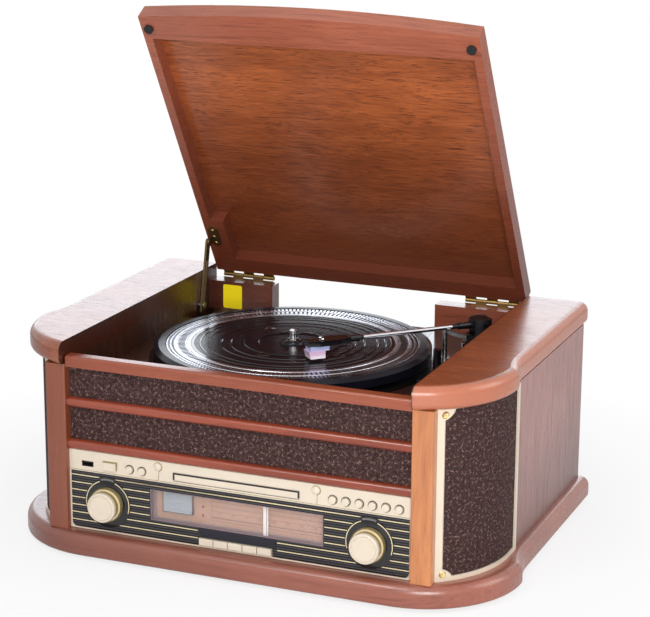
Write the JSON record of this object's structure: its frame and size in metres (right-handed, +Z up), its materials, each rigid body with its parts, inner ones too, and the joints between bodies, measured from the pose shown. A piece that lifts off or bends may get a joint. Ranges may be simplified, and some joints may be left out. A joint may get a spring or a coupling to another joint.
{
  "type": "music center",
  "caption": "Retro wooden music center with a lifting lid, belt-driven turntable, radio dial, disc drawer and curved corner speaker grilles.",
  "frame": {"origin": "on the floor, under the middle of the outline with the lid open", "axes": "+X to the right as seen from the front, +Y to the back, +Z up"},
  "size_m": [0.522, 0.3735, 0.5276],
  "materials": {
    "wood": "satin stained wood",
    "bead_wood": "satin red-brown stained wood",
    "cloth": "woven speaker cloth",
    "gold_plastic": "satin gold metallised plastic",
    "black_plastic": "gloss black plastic",
    "matt_black": "matt black plastic",
    "fascia_plastic": "champagne moulding with printed black panel",
    "dial_print": "printed dial",
    "display_glass": "liquid crystal display",
    "window": "clear window",
    "white_plastic": "white plastic",
    "guard_plastic": "pale pearl plastic",
    "antique_brass": "antique brass",
    "chrome": "bright plated",
    "steel": "plain steel",
    "rubber": "black rubber",
    "board": "circuit board",
    "fibre_board": "dark stained fibre board"
  },
  "bodies": {
    "cabinet": {"base_plinth": "wood", "rubber_feet": "rubber", "side_panels": "wood", "top_caps": "wood", "inner_walls": "fibre_board", "front_posts": "wood", "front_top_rail": "wood", "front_beads": "bead_wood", "speaker_cloths": "cloth", "grille_frames": "gold_plastic", "back_panel": "fibre_board", "rear_sockets": "steel", "hinge_stubs": "wood", "deck_board": "fibre_board", "speakers": "matt_black", "main_board": "board", "fascia": "fascia_plastic", "dial_window": "window", "dial_scale": "dial_print", "lcd_display": "display_glass", "usb_socket": "steel", "cd_loader": "matt_black", "turntable_base": "black_plastic", "spindle": "chrome", "drive_motor": "steel", "drive_belt": "rubber", "cabinet_hinges": "antique_brass", "stay_stud": "antique_brass"},
    "lid": {"lid_panel": "wood", "lid_rails": "wood", "lid_bumpers": "rubber", "lid_hinge_leaves": "antique_brass", "stay_bracket": "antique_brass"},
    "stay": {"stay_arm": "antique_brass"},
    "turning_platter": {"platter": "black_plastic"},
    "pulley": {"motor_pulley": "white_plastic"},
    "turret": {"tonearm_turret": "black_plastic"},
    "arm": {"arm_tube": "chrome", "headshell": "black_plastic", "cartridge": "guard_plastic"},
    "lift": {"cue_lift": "black_plastic"},
    "lever": {"cue_lever": "black_plastic"},
    "volume": {"volume_knob": "gold_plastic"},
    "tuning": {"tuning_knob": "gold_plastic"},
    "pointer": {"tuning_pointer": "white_plastic"},
    "drawer": {"cd_tray": "fascia_plastic"},
    "power": {"power_button": "gold_plastic"},
    "button_1": {"push_button_1": "gold_plastic"},
    "button_2": {"push_button_2": "gold_plastic"},
    "button_3": {"push_button_3": "gold_plastic"},
    "button_4": {"push_button_4": "gold_plastic"},
    "button_5": {"push_button_5": "gold_plastic"},
    "button_6": {"push_button_6": "gold_plastic"},
    "button_7": {"push_button_7": "gold_plastic"},
    "button_8": {"push_button_8": "gold_plastic"},
    "key_1": {"mode_key_1": "gold_plastic"},
    "key_2": {"mode_key_2": "gold_plastic"},
    "key_3": {"mode_key_3": "gold_plastic"},
    "key_4": {"mode_key_4": "gold_plastic"},
    "key_5": {"mode_key_5": "gold_plastic"}
  },
  "joints": [
    {"name": "lid_hinge", "type": "hinge", "parent": "cabinet", "child": "lid", "pos_m": [0, 0.1765, 0.206], "axis": [-1, 0, 0], "range_deg": [-59, 0]},
    {"name": "stay_pivot", "type": "hinge", "parent": "lid", "child": "stay", "pos_m": [-0.1769, 0.14557, 0.2478], "axis": [-1, 0, 0], "range_deg": [-0.5, 30]},
    {"name": "platter_spin", "type": "hinge", "parent": "cabinet", "child": "turning_platter", "pos_m": [-0.015, 0.006, 0.184], "axis": [0, 0, 1], "continuous": true},
    {"name": "pulley_spin", "type": "hinge", "parent": "cabinet", "child": "pulley", "pos_m": [-0.0843, -0.0633, 0.18], "axis": [0, 0, 1], "continuous": true},
    {"name": "arm_swing", "type": "hinge", "parent": "cabinet", "child": "turret", "pos_m": [0.158, 0.086, 0.196], "axis": [0, 0, 1], "range_deg": [-4, 36]},
    {"name": "arm_lift", "type": "hinge", "parent": "turret", "child": "arm", "pos_m": [0.158, 0.086, 0.2075], "axis": [-0.7157, 0.6984, 0], "range_deg": [0, 6.4]},
    {"name": "cue_rise", "type": "slide", "parent": "cabinet", "child": "lift", "axis": [0, 0, 1], "range_m": [0, 0.0041]},
    {"name": "cue_turn", "type": "hinge", "parent": "cabinet", "child": "lever", "pos_m": [0.163, 0.05, 0.1805], "axis": [1, 0, 0], "range_deg": [0, 60]},
    {"name": "volume_turn", "type": "hinge", "parent": "cabinet", "child": "volume", "pos_m": [-0.137, -0.166, 0.0565], "axis": [0, 1, 0], "range_deg": [-150, 150]},
    {"name": "tuning_turn", "type": "hinge", "parent": "cabinet", "child": "tuning", "pos_m": [0.137, -0.166, 0.0565], "axis": [0, 1, 0], "range_deg": [-590, 495]},
    {"name": "pointer_run", "type": "slide", "parent": "cabinet", "child": "pointer", "axis": [1, 0, 0], "range_m": [-0.062, 0.052]},
    {"name": "drawer_run", "type": "slide", "parent": "cabinet", "child": "drawer", "axis": [0, -1, 0], "range_m": [0, 0.125]},
    {"name": "power_press", "type": "slide", "parent": "cabinet", "child": "power", "axis": [0, 1, 0], "range_m": [0, 0.0012], "stiffness_N_per_m": 400},
    {"name": "button_1_press", "type": "slide", "parent": "cabinet", "child": "button_1", "axis": [0, 1, 0], "range_m": [0, 0.0012], "stiffness_N_per_m": 400},
    {"name": "button_2_press", "type": "slide", "parent": "cabinet", "child": "button_2", "axis": [0, 1, 0], "range_m": [0, 0.0012], "stiffness_N_per_m": 400},
    {"name": "button_3_press", "type": "slide", "parent": "cabinet", "child": "button_3", "axis": [0, 1, 0], "range_m": [0, 0.0012], "stiffness_N_per_m": 400},
    {"name": "button_4_press", "type": "slide", "parent": "cabinet", "child": "button_4", "axis": [0, 1, 0], "range_m": [0, 0.0012], "stiffness_N_per_m": 400},
    {"name": "button_5_press", "type": "slide", "parent": "cabinet", "child": "button_5", "axis": [0, 1, 0], "range_m": [0, 0.0012], "stiffness_N_per_m": 400},
    {"name": "button_6_press", "type": "slide", "parent": "cabinet", "child": "button_6", "axis": [0, 1, 0], "range_m": [0, 0.0012], "stiffness_N_per_m": 400},
    {"name": "button_7_press", "type": "slide", "parent": "cabinet", "child": "button_7", "axis": [0, 1, 0], "range_m": [0, 0.0012], "stiffness_N_per_m": 400},
    {"name": "button_8_press", "type": "slide", "parent": "cabinet", "child": "button_8", "axis": [0, 1, 0], "range_m": [0, 0.0012], "stiffness_N_per_m": 400},
    {"name": "key_1_press", "type": "slide", "parent": "cabinet", "child": "key_1", "axis": [0, 1, 0], "range_m": [0, 0.003], "stiffness_N_per_m": 300},
    {"name": "key_2_press", "type": "slide", "parent": "cabinet", "child": "key_2", "axis": [0, 1, 0], "range_m": [0, 0.003], "stiffness_N_per_m": 300},
    {"name": "key_3_press", "type": "slide", "parent": "cabinet", "child": "key_3", "axis": [0, 1, 0], "range_m": [0, 0.003], "stiffness_N_per_m": 300},
    {"name": "key_4_press", "type": "slide", "parent": "cabinet", "child": "key_4", "axis": [0, 1, 0], "range_m": [0, 0.003], "stiffness_N_per_m": 300},
    {"name": "key_5_press", "type": "slide", "parent": "cabinet", "child": "key_5", "axis": [0, 1, 0], "range_m": [0, 0.003], "stiffness_N_per_m": 300}
  ],
  "couplings": [
    {"joint": "stay_pivot", "follows": "lid_hinge", "ratio": -0.5},
    {"joint": "pulley_spin", "follows": "platter_spin", "ratio": 12.4},
    {"joint": "pointer_run", "follows": "tuning_turn", "m_per_rad": 0.006},
    {"joint": "cue_turn", "follows": "arm_lift", "ratio": 9.375},
    {"joint": "cue_rise", "follows": "arm_lift", "m_per_rad": 0.03581}
  ]
}
